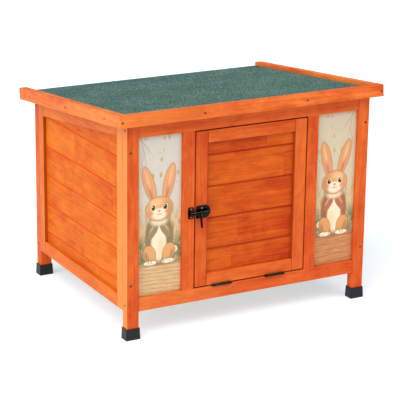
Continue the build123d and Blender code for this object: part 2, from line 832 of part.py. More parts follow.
with BuildPart() as roof_deck_boards:
    pitch = (roof_back - felt_thickness - deck_front) / deck_board_count
    for number in range(deck_board_count):
        low = deck_front + number * pitch
        v_span = (low + board_gap / 2, low + pitch - board_gap / 2)
        add(roof_block((-deck_half, deck_half), v_span, (0, deck_thickness), deck_cuts).part)
save("roof_deck_boards", roof_deck_boards)

with BuildPart() as roof_felt:
    top_v = (deck_front, roof_back)
    top_w = (deck_thickness, deck_thickness + felt_thickness)
    lap_v = (roof_back - felt_thickness, roof_back)
    lap_w = (deck_thickness - felt_lap, deck_thickness)
    add(roof_block((-deck_half, deck_half), top_v, top_w).part)
    add(roof_block((-deck_half, deck_half), lap_v, lap_w).part)
save("roof_felt", roof_felt)

front_trim_v = (-roof_front_overhang, deck_front)
front_trim_x = (-roof_width / 2, roof_width / 2)
save("roof_front_trim", roof_block(front_trim_x, front_trim_v, trim_w, (trim_screw_holes,)))
for side_name, side in SIDES:
    trim_x = mirrored((deck_half, roof_width / 2), side)
    trim = roof_block(trim_x, (deck_front, roof_back), trim_w, (trim_screw_holes,))
    save(f"roof_{side_name}_trim", trim)
save("roof_trim_screws", trim_screws)

with BuildPart() as roof_battens:
    inner_front = (leg_depth + roof_batten_margin) / cos(slope)
    inner_back = (body_depth - leg_depth - roof_batten_margin) / cos(slope)
    for number in (-1, 0, 1):
        x = number * roof_batten_spacing
        x_span = (x - roof_batten_width / 2, x + roof_batten_width / 2)
        add(roof_block(x_span, (inner_front, inner_back), (-roof_batten_thickness, 0)).part)
save("roof_battens", roof_battens)

# ---- Roof hinges --------------------------------------------------------------------
distance = roof_pin_distance
frame_leaves = hinge_leaves(roof_frame_places, outer_knuckles, distance, roof_frame_holes)
moving_leaves = hinge_leaves(roof_moving_places, inner_knuckle, distance, roof_moving_holes)
save("roof_hinge_frame_leaves", frame_leaves)
save("roof_hinge_roof_leaves", moving_leaves)
save("roof_hinge_pins", hinge_pins(roof_pins))
save("roof_hinge_frame_screws", screws(small_screw, roof_frame_screws))
save("roof_hinge_roof_screws", screws(roof_leaf_screw, roof_moving_screws))
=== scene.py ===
"""Looks of the rabbit hutch: materials, soft edges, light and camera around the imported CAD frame."""
import math

import bpy
from mathutils import Matrix, Vector


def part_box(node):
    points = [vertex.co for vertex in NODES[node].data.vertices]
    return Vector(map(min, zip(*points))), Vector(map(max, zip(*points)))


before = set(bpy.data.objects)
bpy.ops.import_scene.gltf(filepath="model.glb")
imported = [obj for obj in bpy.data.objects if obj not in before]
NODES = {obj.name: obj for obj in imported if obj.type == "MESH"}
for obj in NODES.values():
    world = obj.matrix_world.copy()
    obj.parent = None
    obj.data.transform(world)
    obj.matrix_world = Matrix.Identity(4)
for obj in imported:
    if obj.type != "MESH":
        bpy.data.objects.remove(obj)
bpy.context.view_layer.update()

# ---- Small helpers for node materials ------------------------------------------------


class Graph:
    """A material's node tree, with short calls for the nodes used here."""

    def __init__(self, name):
        self.material = bpy.data.materials.new(name)
        self.material.use_nodes = True
        self.tree = self.material.node_tree
        self.tree.nodes.clear()

    def add(self, kind, inputs=None, **settings):
        node = self.tree.nodes.new(kind)
        for key, value in settings.items():
            setattr(node, key, value)
        for key, value in (inputs or {}).items():
            self.put(node.inputs[key], value)
        return node

    def put(self, socket, value):
        if isinstance(value, bpy.types.NodeSocket):
            self.tree.links.new(value, socket)
        else:
            socket.default_value = value

    def math(self, operation, a, b=0.0, c=0.0, clamp=False):
        node = self.add("ShaderNodeMath", operation=operation, use_clamp=clamp)
        for socket, value in zip(node.inputs, (a, b, c)):
            self.put(socket, value)
        return node.outputs[0]

    def vector(self, operation, a, b=(0, 0, 0)):
        node = self.add("ShaderNodeVectorMath", operation=operation)
        self.put(node.inputs[0], a)
        self.put(node.inputs[1], b)
        return node.outputs["Value"] if operation == "LENGTH" else node.outputs[0]

    def place(self):
        """Position in metres in the part's own frame."""
        return self.add("ShaderNodeTexCoord").outputs["Object"]

    def split(self, vector):
        return self.add("ShaderNodeSeparateXYZ", {0: vector}).outputs

    def join(self, x, y, z):
        return self.add("ShaderNodeCombineXYZ", {0: x, 1: y, 2: z}).outputs[0]

    def noise(self, vector, scale, detail=2.0, roughness=0.5, distortion=0.0):
        values = {"Vector": vector, "Scale": scale, "Detail": detail}
        values |= {"Roughness": roughness, "Distortion": distortion}
        return self.add("ShaderNodeTexNoise", values).outputs["Fac"]

    def white(self, vector):
        return self.add("ShaderNodeTexWhiteNoise", {"Vector": vector}, noise_dimensions="3D").outputs[0]

    def remap(self, value, low, high, to_low=0.0, to_high=1.0, smooth=False):
        kind = "SMOOTHSTEP" if smooth else "LINEAR"
        values = {0: value, 1: low, 2: high, 3: to_low, 4: to_high}
        return self.add("ShaderNodeMapRange", values, interpolation_type=kind).outputs[0]

    def mix(self, factor, a, b):
        node = self.add("ShaderNodeMix", data_type="RGBA")
        self.put(node.inputs[0], factor)
        self.put(node.inputs[6], rgba(a))
        self.put(node.inputs[7], rgba(b))
        return node.outputs[2]

    def ramp(self, factor, *stops):
        node = self.add("ShaderNodeValToRGB", {0: factor})
        elements = node.color_ramp.elements
        while len(elements) < len(stops):
            elements.new(1.0)
        for element, (position, color) in zip(elements, stops):
            element.position = position
            element.color = rgba(color)
        return node.outputs[0]

    def bump(self, height, strength, distance):
        values = {"Height": height, "Strength": strength, "Distance": distance}
        return self.add("ShaderNodeBump", values).outputs[0]

    def surface(self, color, roughness, normal=None, **values):
        """The finished material; values are the shader's other sockets."""
        inputs = {"Base Color": rgba(color), "Roughness": roughness}
        if normal is not None:
            inputs["Normal"] = normal
        shader = self.add("ShaderNodeBsdfPrincipled", inputs | values)
        output = self.add("ShaderNodeOutputMaterial")
        self.tree.links.new(shader.outputs[0], output.inputs[0])
        return self.material


def rgba(color):
    """A colour as four numbers; a socket stays as it is."""
    if isinstance(color, bpy.types.NodeSocket):
        return color
    return (*color, 1.0) if len(color) == 3 else color


def srgb(red, green, blue):
    """Linear colour from 0-255 display values."""
    linear = []
    for value in (red, green, blue):
        share = value / 255
        linear.append(share / 12.92 if share <= 0.04045 else ((share + 0.055) / 1.055) ** 2.4)
    return tuple(linear)


def give(node_names, material):
    """Put one material on CAD nodes in place of their plain colours."""
    for name in node_names:
        slots = NODES[name].data.materials
        slots.clear()
        slots.append(material)


# ---- Wood -----------------------------------------------------------------------------
ALONG = {"X": (1, 2, 0), "Y": (2, 0, 1), "Z": (0, 1, 2)}  # coordinates across, across and along the grain
MIDDLE_TONE = 0.44  # 0 is the light colour, 1 the dark one
RINGS_PER_METRE = 105.0
CORNER_REACH = 0.007


def scaled(color, share):
    return tuple(share * c for c in color)


def centred(g, value, weight):
    """A 0-1 value as a plus or minus share of a tone."""
    return g.math("MULTIPLY_ADD", value, weight, -weight / 2)


class Timber:
    """Stained softwood with its grain along one axis: its coordinates, tone and colour."""

    def __init__(self, node, seed, axis, colors, shade):
        self.node = node
        self.seed = seed
        self.light, self.dark = colors
        # dark red for painted shade in gaps, corners and recessed faces
        self.painted_shade_red = (0.36 * self.dark[0], 0.2 * self.dark[1], 0.3 * self.dark[2])
        self.g = Graph(f"wood_{node}")
        self.xyz = self.g.split(self.g.place())
        self.across, self.depth, self.along = (self.xyz[i] for i in ALONG[axis])
        self.tone = MIDDLE_TONE + shade

    def vary(self, value, weight):
        """Make the tone differ with a 0-1 value."""
        self.tone = self.g.math("ADD", centred(self.g, value, weight), self.tone)

    def wash(self, mask, tint):
        self.color = self.g.mix(mask, self.color, tint)

    def cut_into_blocks(self, pitch, lowest, block):
        """Give each board, and each short block in it, its own tone and its own stretch of grain."""
        g = self.g
        self.height = g.math("DIVIDE", g.math("SUBTRACT", self.xyz[2], lowest), pitch)
        row = g.math("FLOOR", self.height)
        stagger = g.white(g.join(row, self.seed, 3.1))
        part = g.math("FLOOR", g.math("ADD", g.math("DIVIDE", self.along, block), stagger))
        block_tone = g.white(g.join(row, part, self.seed + 0.5))
        row_tone = g.white(g.join(row, self.seed, 9.3))
        self.vary(block_tone, 0.3)
        self.vary(row_tone, 0.1)
        self.along = g.math("ADD", self.along, g.math("MULTIPLY", block_tone, 37.0))
        self.across = g.math("ADD", self.across, g.math("MULTIPLY", row, 0.31))

    def growth_rings(self):
        """Distance from a wandering heart beside the board, cut into bands."""
        g = self.g
        stretched = g.vector("MULTIPLY", self.spot, (1.0, 1.0, 0.13))
        wander_a = g.math("MULTIPLY_ADD", g.noise(stretched, 13.0, 2.0, 0.5), 0.16, -0.08)
        wander_b = g.math("MULTIPLY_ADD", g.noise(stretched, 29.0, 3.0, 0.6), 0.05, 0.02)
        distance = g.vector("LENGTH", g.join(g.math("ADD", self.across, wander_a), wander_b, 0.0))
        ring = g.math("FRACT", g.math("MULTIPLY", distance, RINGS_PER_METRE))
        return g.math("MULTIPLY", g.remap(ring, 0.2, 0.93, smooth=True), g.remap(ring, 0.93, 1.0, 1.0, 0.0))

    def grow(self):
        """Rings, streaks and fine fibres along the grain, and wood that is unevenly stained."""
        g = self.g
        across = g.math("ADD", self.across, self.seed * 0.37)
        depth = g.math("ADD", self.depth, self.seed * 0.21)
        self.spot = g.join(across, depth, self.along)
        self.band = self.growth_rings()
        fibre_place = g.vector("MULTIPLY", self.spot, (1.0, 1.0, 0.03))
        self.fibre = g.noise(fibre_place, 520.0, 3.0, 0.65)
        streak = g.noise(fibre_place, 150.0, 4.0, 0.65)
        self.blotch = g.noise(g.vector("MULTIPLY", self.spot, (1.0, 1.0, 0.42)), 17.0, 4.0, 0.66, 0.5)
        cloud = g.noise(g.vector("MULTIPLY", self.spot, (1.0, 1.0, 0.5)), 44.0, 3.0, 0.6, 0.8)
        weights = ((self.blotch, 2.0), (cloud, 0.9), (self.band, 0.18), (streak, 1.2), (self.fibre, 0.5))
        for value, weight in weights:
            self.vary(value, weight)
        self.color = g.mix(g.math("MULTIPLY", self.tone, 1.0, clamp=True), self.light, self.dark)

    def fade(self, coordinate, start, end, amount):
        """Make the wood paler towards one end or face."""
        self.wash(self.g.remap(self.xyz[coordinate], start, end, 0.0, amount, smooth=True), PALE)

    def joint_lines(self, pitch, strength, tint):
        """A soft line where two boards meet."""
        from_line = self.g.math("MULTIPLY", self.g.math("PINGPONG", self.height, 0.5), pitch)
        self.wash(self.g.remap(from_line, 0.0014, 0.0042, strength, 0.0, smooth=True), tint)

    def darken_ends(self, coordinate):
        """A dark line at the piece's two ends, where it meets its neighbours."""
        g = self.g
        low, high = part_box(self.node)
        past_low = g.math("SUBTRACT", self.xyz[coordinate], low[coordinate])
        before_high = g.math("SUBTRACT", high[coordinate], self.xyz[coordinate])
        inward = g.math("MINIMUM", past_low, before_high)
        self.wash(g.remap(inward, 0.0007, 0.0018, 0.75, 0.0, smooth=True), scaled(self.dark, 0.4))

    def shade_recess_face(self, coordinate, place):
        """Painted shade on a face beside recessed boards."""
        g = self.g
        reach = g.math("ABSOLUTE", g.math("SUBTRACT", self.xyz[coordinate], place))
        self.wash(g.remap(reach, 0.0005, 0.0014, 0.6, 0.0, smooth=True), self.painted_shade_red)

    def knots(self):
        """Rare dark ovals."""
        g = self.g
        place = g.vector("MULTIPLY", self.spot, (1.0, 1.0, 0.42))
        cells = g.add("ShaderNodeTexVoronoi", {"Vector": place, "Scale": 9.0, "Randomness": 1.0})
        rare = g.math("GREATER_THAN", g.split(cells.outputs["Color"])[0], 0.84)
        oval = g.remap(cells.outputs["Distance"], 0.03, 0.2, 1.0, 0.0, smooth=True)
        self.wash(g.math("MULTIPLY", g.math("MULTIPLY", rare, oval), 0.6), scaled(self.dark, 0.55))

    def stain_corners(self, amount):
        """Painted shade: gaps and corners are drawn darker red, the closer other surfaces are."""
        near = self.g.add("ShaderNodeAmbientOcclusion", {"Distance": CORNER_REACH}, samples=8)
        # painted shade: darker where the occlusion node finds surfaces close by
        self.wash(self.g.remap(near.outputs["AO"], 0.2, 0.9, amount, 0.0), self.painted_shade_red)

    def surface(self, gloss):
        g = self.g
        rough = g.math("MULTIPLY_ADD", self.fibre, 0.18, 0.3)
        rough = g.math("ADD", rough, g.math("MULTIPLY", self.blotch, 0.1))
        normal = g.bump(g.math("MULTIPLY_ADD", self.band, -0.5, self.fibre), 0.2, 0.0004)
        return g.surface(self.color, rough, normal, **{"Specular IOR Level": gloss})


def wood(node, seed, axis, colors, shade=0.0, stain=0.55, gloss=0.09, **marks):
    """The material of one wooden piece.
    shade makes it darker (plus) or lighter (minus) than its neighbours.
    stain is how much painted shade darkens gaps and corners, and gloss is the specular level.
    marks are what only some pieces have: blocks and lines (boards), pale (fading wood; painted light on
    legs' sides), seam (the coordinate at whose two ends the piece is dark) and rim (a face with painted
    shade)."""
    timber = Timber(node, seed, axis, colors, shade)
    if "blocks" in marks:
        timber.cut_into_blocks(**marks["blocks"])
    timber.grow()
    if "pale" in marks:
        timber.fade(**marks["pale"])
    if "lines" in marks:
        timber.joint_lines(**marks["lines"])
    if "seam" in marks:
        timber.darken_ends(marks["seam"])
    if "rim" in marks:
        timber.shade_recess_face(**marks["rim"])
    timber.knots()
    timber.stain_corners(stain)
    return timber.surface(gloss)


PALE = srgb(246, 164, 80)
SIDE_BOARD = srgb(218, 113, 15), srgb(192, 64, 4)
SIDE_BAR = srgb(226, 122, 38), srgb(202, 86, 22)
FRONT_BAR = srgb(220, 103, 41), srgb(192, 64, 19)
DOOR_BOARD = srgb(210, 95, 25), srgb(174, 52, 12)
DOOR_BAR = srgb(217, 102, 39), srgb(190, 66, 20)
ROOF_BAR = srgb(236, 128, 57), srgb(200, 78, 28)
PLAIN = srgb(226, 190, 138), srgb(198, 152, 98)

# one board's height in the walls and in the door
WALL_PITCH = 0.0698
DOOR_PITCH = 0.0715
# wood that is paler towards the left or the front, front stiles paler than rear ones, legs' outer faces as
# painted light
PALE_LEFT = dict(coordinate=0, start=0.1, end=-0.3, amount=0.22)
PALE_FRONT = dict(coordinate=1, start=0.1, end=-0.25, amount=0.22)
STILE_FADE = dict(coordinate=1, start=0.1, end=-0.15, amount=0.36)
HALF_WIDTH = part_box("front_right_leg")[1].x
# painted light: each front leg's outer side face is drawn paler, as a face that catches more light
LEFT_FLANK_PAINTED_LIGHT = dict(coordinate=0, start=0.0006 - HALF_WIDTH, end=0.0002 - HALF_WIDTH, amount=0.5)
RIGHT_FLANK_PAINTED_LIGHT = dict(coordinate=0, start=HALF_WIDTH - 0.0006, end=HALF_WIDTH - 0.0002, amount=0.5)
# faces beside the recessed boards, drawn dark as painted shade in the recess
REAR_RECESS_SHADE = dict(coordinate=1, place=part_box("left_side_bottom_rail")[1].y)
DOOR_LEFT_RECESS_SHADE = dict(coordinate=0, place=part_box("door_left_stile")[1].x)
DOOR_RIGHT_RECESS_SHADE = dict(coordinate=0, place=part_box("door_right_stile")[0].x)


def bar(axis, colors, **look):
    return dict(axis=axis, colors=colors, **look)


def wall_boards(axis):
    blocks = dict(pitch=WALL_PITCH, lowest=0.119, block=0.26)
    lines = dict(pitch=WALL_PITCH, strength=0.5, tint=srgb(226, 76, 4))
    return bar(axis, SIDE_BOARD, stain=0.12, gloss=0.05, blocks=blocks, lines=lines)


def door_boards():
    blocks = dict(pitch=DOOR_PITCH, lowest=0.177, block=0.19)
    lines = dict(pitch=DOOR_PITCH, strength=0.5, tint=srgb(150, 30, 6))
    return bar("X", DOOR_BOARD, stain=0.4, gloss=0.07, blocks=blocks, lines=lines)


WOODS = {
    "front_left_leg": bar("Z", FRONT_BAR, shade=0.1, pale=LEFT_FLANK_PAINTED_LIGHT),
    "front_right_leg": bar("Z", FRONT_BAR, pale=RIGHT_FLANK_PAINTED_LIGHT),
    "back_left_leg": bar("Z", FRONT_BAR, shade=0.1),
    "back_right_leg": bar("Z", FRONT_BAR),
    "front_bottom_rail": bar("X", FRONT_BAR, shade=0.1, seam=0, pale=PALE_LEFT),
    "front_top_rail": bar("X", FRONT_BAR, seam=0),
    "left_mid_stile": bar("Z", FRONT_BAR),
    "right_mid_stile": bar("Z", FRONT_BAR, shade=0.25),
    "left_side_stiles": bar("Z", SIDE_BAR, pale=STILE_FADE, seam=1, rim=REAR_RECESS_SHADE),
    "right_side_stiles": bar("Z", SIDE_BAR, pale=STILE_FADE, seam=1, rim=REAR_RECESS_SHADE),
    "left_side_bottom_rail": bar("Y", SIDE_BAR, seam=1),
    "right_side_bottom_rail": bar("Y", SIDE_BAR, seam=1),
    "left_side_top_rail": bar("Y", SIDE_BAR, shade=0.12, seam=1),
    "right_side_top_rail": bar("Y", SIDE_BAR, shade=0.12, seam=1),
    "left_side_boards": wall_boards("Y"),
    "right_side_boards": wall_boards("Y"),
    "back_stiles": bar("Z", SIDE_BAR),
    "back_bottom_rail": bar("X", SIDE_BAR, seam=0),
    "back_top_rail": bar("X", SIDE_BAR, seam=0),
    "back_boards": wall_boards("X"),
    "door_left_stile": bar("Z", DOOR_BAR, shade=0.2, rim=DOOR_LEFT_RECESS_SHADE),
    "door_right_stile": bar("Z", DOOR_BAR, shade=-0.12, rim=DOOR_RIGHT_RECESS_SHADE),
    "door_bottom_rail": bar("X", DOOR_BAR, shade=-0.12, stain=0.45, seam=0),
    "door_top_rail": bar("X", DOOR_BAR, seam=0),
    "door_boards": door_boards(),
    "roof_front_trim": bar("X", ROOF_BAR, shade=0.32, pale=PALE_LEFT),
    "roof_left_trim": bar("Y", ROOF_BAR, shade=0.06, gloss=0.07, seam=1, pale=PALE_FRONT),
    "roof_right_trim": bar("Y", ROOF_BAR, shade=0.06, gloss=0.07, seam=1, pale=PALE_FRONT),
    "roof_deck_boards": bar("X", PLAIN),
    "roof_battens": bar("Y", PLAIN),
    "floor_panel": bar("X", PLAIN),
    "floor_battens": bar("X", PLAIN),
}
for seed, (node, look) in enumerate(WOODS.items(), start=1):
    give([node], wood(node, seed, **look))


# ---- Roof felt, plastic, metal ----------------------------------------------------------
def felt():
    g = Graph("mineral_felt")
    place = g.place()
    grains = g.add("ShaderNodeTexVoronoi", {"Vector": place, "Scale": 640.0, "Randomness": 1.0})
    pick = g.split(grains.outputs["Color"])[0]
    clumps = g.noise(place, 330.0, 2.0, 0.6)
    patches = g.noise(place, 11.0, 3.0, 0.6)
    value = g.math("ADD", centred(g, pick, 0.55), centred(g, clumps, 1.5))
    value = g.math("ADD", g.math("ADD", value, 0.5), centred(g, patches, 0.3))
    color = g.ramp(
        value,
        (0.05, srgb(14, 38, 34)),
        (0.35, srgb(45, 80, 71)),
        (0.62, srgb(74, 108, 99)),
        (0.95, srgb(150, 180, 169)),
    )
    dome = g.remap(grains.outputs["Distance"], 0.0, 0.6, 1.0, 0.0)
    height = g.math("MULTIPLY_ADD", clumps, 0.8, dome)
    rough = g.remap(pick, 0.0, 1.0, 0.75, 0.95)
    return g.surface(color, rough, g.bump(height, 0.6, 0.0008), **{"Specular IOR Level": 0.2})


def plastic():
    g = Graph("black_plastic")
    place = g.place()
    speck = g.noise(place, 900.0, 2.0, 0.6)
    cloud = g.noise(place, 40.0, 2.0, 0.5)
    color = g.mix(cloud, srgb(5, 5, 6), srgb(14, 13, 15))
    rough = g.math("MULTIPLY_ADD", cloud, 0.14, 0.34)
    return g.surface(color, rough, g.bump(speck, 0.25, 0.0002), **{"Specular IOR Level": 0.33})


def black_steel():
    g = Graph("black_steel")
    place = g.place()
    peel = g.noise(place, 420.0, 2.0, 0.5)
    wear = g.remap(g.noise(place, 160.0, 3.0, 0.6), 0.62, 0.74)
    color = g.mix(wear, srgb(5, 5, 6), srgb(22, 20, 19))
    rough = g.math("MULTIPLY_ADD", wear, 0.2, 0.1)
    return g.surface(color, rough, g.bump(peel, 0.1, 0.0002), **{"Specular IOR Level": 0.13})


def screw_metal(name, light, dark):
    g = Graph(name)
    place = g.place()
    tarnish = g.noise(place, 380.0, 3.0, 0.6)
    color = g.mix(tarnish, dark, light)
    rough = g.math("MULTIPLY_ADD", tarnish, 0.25, 0.3)
    return g.surface(color, rough, g.bump(tarnish, 0.2, 0.0001), Metallic=0.5)


give(["roof_felt"], felt())
give([n for n in NODES if n.endswith("foot_cap")], plastic())
FITTINGS = [n for n in NODES if ("hinge" in n or n.startswith("bolt")) and "screws" not in n]
give(FITTINGS, black_steel())
BRASS = ["bolt_plate_screws", "bolt_keeper_screws"]
give(BRASS, screw_metal("brass_screw", srgb(196, 132, 66), srgb(112, 66, 30)))
DARK = [n for n in NODES if n.endswith("screws") and n not in BRASS]
give(DARK, screw_metal("dark_screw", srgb(104, 82, 56), srgb(48, 34, 26)))


# ---- Printed panels ---------------------------------------------------------------------
# the visible picture's foot and width; places on it are counted in widths
PANEL_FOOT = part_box("front_bottom_rail")[1].z
PANEL_WIDTH = 0.106


class Picture:
    """Paints on a panel, in panel widths from the middle of its foot; mirror -1 swaps left and right."""

    def __init__(self, node, mirror):
        self.g = Graph(f"print_{node}")
        low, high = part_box(node)
        spot = self.g.split(self.g.place())
        across = self.g.math("SUBTRACT", spot[0], (low.x + high.x) / 2)
        self.s = self.g.math("DIVIDE", across, mirror * PANEL_WIDTH)
        self.t = self.g.math("DIVIDE", self.g.math("SUBTRACT", spot[2], PANEL_FOOT), PANEL_WIDTH)
        self.uv = self.g.join(self.s, self.t, 0.0)
        rough_edge = self.g.noise(self.uv, 22.0, 2.0, 0.6)
        wobble = self.g.math("MULTIPLY_ADD", rough_edge, 0.02, -0.01)
        self.brush = self.g.join(
            self.g.math("ADD", self.s, wobble), self.g.math("SUBTRACT", self.t, wobble), 0.0
        )
        self.color = None

    def wash(self, mask, tint, strength=1.0):
        self.color = self.g.mix(self.g.math("MULTIPLY", mask, strength), self.color, tint)

    def noise(self, stretch, scale, detail=3.0, roughness=0.6):
        return self.g.noise(self.g.vector("MULTIPLY", self.uv, (*stretch, 1.0)), scale, detail, roughness)

    def band(self, low, high, soft):
        """A mask between two heights."""
        rise = self.g.remap(self.t, low - soft, low + soft, smooth=True)
        fall = self.g.remap(self.t, high - soft, high + soft, 1.0, 0.0, smooth=True)
        return self.g.math("MULTIPLY", rise, fall)

    def oval(self, x, y, width, height, angle=0.0, soft=0.06):
        """A mask; angle leans the oval's top to the left, in degrees."""
        local = self.g.vector("SUBTRACT", self.brush, (x, y, 0.0))
        turned = self.g.add("ShaderNodeVectorRotate", {"Vector": local, "Angle": -math.radians(angle)})
        span = self.g.vector("MULTIPLY", turned.outputs[0], (1 / width, 1 / height, 0.0))
        reach = self.g.vector("LENGTH", span)
        return self.g.remap(reach, 1.0 - soft, 1.0 + soft, 1.0, 0.0, smooth=True)

    def paint(self, tint, *place, strength=1.0, soft=0.06):
        self.wash(self.oval(*place, soft=soft), tint, strength)

    def outlined(self, tint, line, x, y, width, height, angle=0.0):
        self.paint(line, x, y, width + 0.012, height + 0.012, angle, strength=0.8)
        self.paint(tint, x, y, width, height, angle)


def sky_and_twigs(pic, sky, haze, leaf_color):
    """Pale sky with hanging twigs and falling leaves, most of them in one upper corner."""
    g = pic.g
    mottled = pic.noise((1.0, 1.0), 7.0, 4.0)
    pic.color = g.mix(mottled, sky, scaled(sky, 0.84))
    pic.wash(g.remap(pic.t, 2.3, 1.1, smooth=True), haze, 0.9)
    for x, y, reach, lean in ((-0.36, 3.1, 0.36, 12), (-0.3, 3.16, 0.26, 38), (-0.4, 2.8, 0.22, -14)):
        pic.paint(srgb(178, 120, 78), x, y, 0.007, reach, lean, strength=0.7, soft=0.4)
    leaf_place = g.vector("MULTIPLY", pic.brush, (1.0, 0.62, 1.0))
    leaf = g.add("ShaderNodeTexVoronoi", {"Vector": leaf_place, "Scale": 9.5, "Randomness": 1.0})
    leaf_spot = g.remap(leaf.outputs["Distance"], 0.26, 0.38, 1.0, 0.0)
    corner = g.remap(g.math("SUBTRACT", pic.t, pic.s), 2.6, 3.2, smooth=True)
    share = g.remap(corner, 0.0, 1.0, 0.86, 0.42)
    few = g.math("GREATER_THAN", g.split(leaf.outputs["Color"])[1], share)
    falling = g.math("MULTIPLY", leaf_spot, few)
    pic.wash(g.math("MULTIPLY", falling, pic.band(1.6, 3.4, 0.2)), leaf_color, 0.8)


def meadow(pic):
    """Tall grass and reeds behind bushes."""
    g = pic.g
    layers = (
        (pic.noise((4.2, 0.55), 7.0, 3.0, 0.7), 0.5, 0.6, (0.7, 1.75, 0.25), srgb(184, 132, 54), 0.75),
        (pic.noise((6.0, 0.5), 9.0, 2.0), 0.55, 0.62, (0.7, 1.5, 0.2), srgb(146, 122, 62), 0.65),
        (pic.noise((1.0, 1.0), 5.5, 4.0, 0.7), 0.4, 0.55, (0.62, 1.2, 0.14), srgb(112, 122, 88), 0.9),
        (pic.noise((1.0, 1.0), 21.0, 3.0, 0.7), 0.5, 0.6, (0.6, 1.08, 0.12), srgb(60, 80, 62), 0.75),
    )
    for pattern, low, high, heights, tint, strength in layers:
        pic.wash(g.math("MULTIPLY", g.remap(pattern, low, high), pic.band(*heights)), tint, strength)


def deck(pic, plank_light, plank_dark, planks):
    """Planks at the foot of the picture; planks is how many lie in one panel width."""
    g = pic.g
    below = g.remap(g.math("MULTIPLY_ADD", pic.s, -0.06, pic.t), 0.7, 0.72, 1.0, 0.0)
    grain = pic.noise((0.5, 5.0), 6.0, 4.0, 0.65)
    color = g.mix(g.remap(grain, 0.3, 0.7), plank_light, plank_dark)
    lines = g.math("FRACT", g.math("MULTIPLY", g.math("MULTIPLY_ADD", pic.s, 0.05, pic.t), planks))
    half_gap = 0.009 * planks
    gap = g.remap(g.math("ABSOLUTE", g.math("SUBTRACT", lines, 0.5)), 0.0, half_gap, 1.0, 0.0, smooth=True)
    color = g.mix(g.math("MULTIPLY", gap, 0.7), color, scaled(plank_dark, 0.42))
    pic.wash(below, color)


CREAM = srgb(242, 222, 188)
PINK = srgb(226, 140, 110)
GLOW = srgb(240, 198, 148)
EYE = srgb(46, 30, 28)


def ears(pic, fur, line, dusk):
    for x, lean in ((-0.23, 17), (0.22, -13)):
        pic.outlined(fur, line, x, 2.36, 0.118, 0.4, lean)
        pic.paint(PINK, x * 1.02, 2.3, 0.068, 0.31, lean, strength=0.8, soft=0.3)
        pic.paint(dusk, x * 0.86, 2.18, 0.03, 0.18, lean, strength=0.45, soft=0.6)
        pic.paint(GLOW, x * 1.15, 2.46, 0.035, 0.22, lean, strength=0.5, soft=0.5)


def body(pic, coat, line, dusk):
    """Tail, back and belly."""
    pic.outlined(CREAM, line, 0.33, 0.92, 0.09, 0.085)
    pic.outlined(coat, line, 0.0, 1.2, 0.31, 0.54)
    pic.paint(dusk, 0.2, 1.16, 0.11, 0.42, strength=0.6, soft=0.5)
    pic.paint(dusk, -0.22, 1.3, 0.08, 0.3, strength=0.5, soft=0.6)
    pic.paint(CREAM, -0.01, 1.1, 0.17, 0.38, soft=0.2)
    pic.paint(GLOW, 0.06, 0.98, 0.08, 0.2, strength=0.7, soft=0.6)


def legs(pic, fur, coat, line, dusk):
    """Hind legs and feet, then the forelegs with their paws at the chest."""
    for x, lean in ((-0.22, 14), (0.22, -14)):
        pic.outlined(fur, line, x, 0.86, 0.14, 0.21, lean)
        pic.paint(dusk, x * 1.3, 0.8, 0.05, 0.14, lean, strength=0.5, soft=0.5)
        pic.outlined(CREAM, line, x * 0.95, 0.69, 0.15, 0.05)
    for x, lean in ((-0.14, 34), (0.14, -34)):
        pic.outlined(coat, line, x, 1.36, 0.07, 0.19, -lean)
        pic.paint(GLOW, x * 1.2, 1.42, 0.025, 0.1, -lean, strength=0.4, soft=0.6)
        pic.paint(CREAM, x * 0.42, 1.26, 0.045, 0.05, soft=0.2)


def head(pic, fur, line, dusk):
    pic.paint(CREAM, 0.0, 1.57, 0.19, 0.1, strength=0.8, soft=0.4)
    pic.outlined(fur, line, 0.0, 1.83, 0.305, 0.255)
    pic.paint(dusk, 0.19, 1.79, 0.11, 0.18, strength=0.35, soft=0.5)
    pic.paint(GLOW, -0.07, 1.97, 0.14, 0.08, strength=0.6, soft=0.5)
    pic.paint(CREAM, 0.0, 1.72, 0.17, 0.12, soft=0.25)
    for x in (-0.2, 0.2):
        pic.paint(PINK, x, 1.74, 0.07, 0.05, strength=0.6, soft=0.6)


def eyes_and_nose(pic, line):
    for x in (-0.135, 0.135):
        pic.paint(CREAM, x, 1.86, 0.062, 0.07, strength=0.8, soft=0.2)
        pic.paint(EYE, x, 1.86, 0.043, 0.056)
        pic.paint(CREAM, x - 0.014, 1.882, 0.013, 0.015)
    pic.paint(PINK, 0.0, 1.785, 0.034, 0.022)
    pic.paint(line, 0.0, 1.742, 0.007, 0.03, strength=0.8)
    for side in (-1, 1):
        pic.paint(line, side * 0.032, 1.708, 0.034, 0.008, side * 25, strength=0.8)
        for height, lean in ((1.77, 5), (1.74, -4), (1.71, -12)):
            pic.paint(line, side * 0.23, height, 0.11, 0.003, side * lean, strength=0.4)


def rabbit(pic, fur, coat):
    """A plain wild rabbit sitting up, seen from the front."""
    line, dusk = scaled(fur, 0.34), scaled(coat, 0.6)
    pic.paint(srgb(128, 82, 62), 0.1, 0.66, 0.44, 0.05, strength=0.5, soft=0.35)
    ears(pic, fur, line, dusk)
    body(pic, coat, line, dusk)
    legs(pic, fur, coat, line, dusk)
    head(pic, fur, line, dusk)
    eyes_and_nose(pic, line)


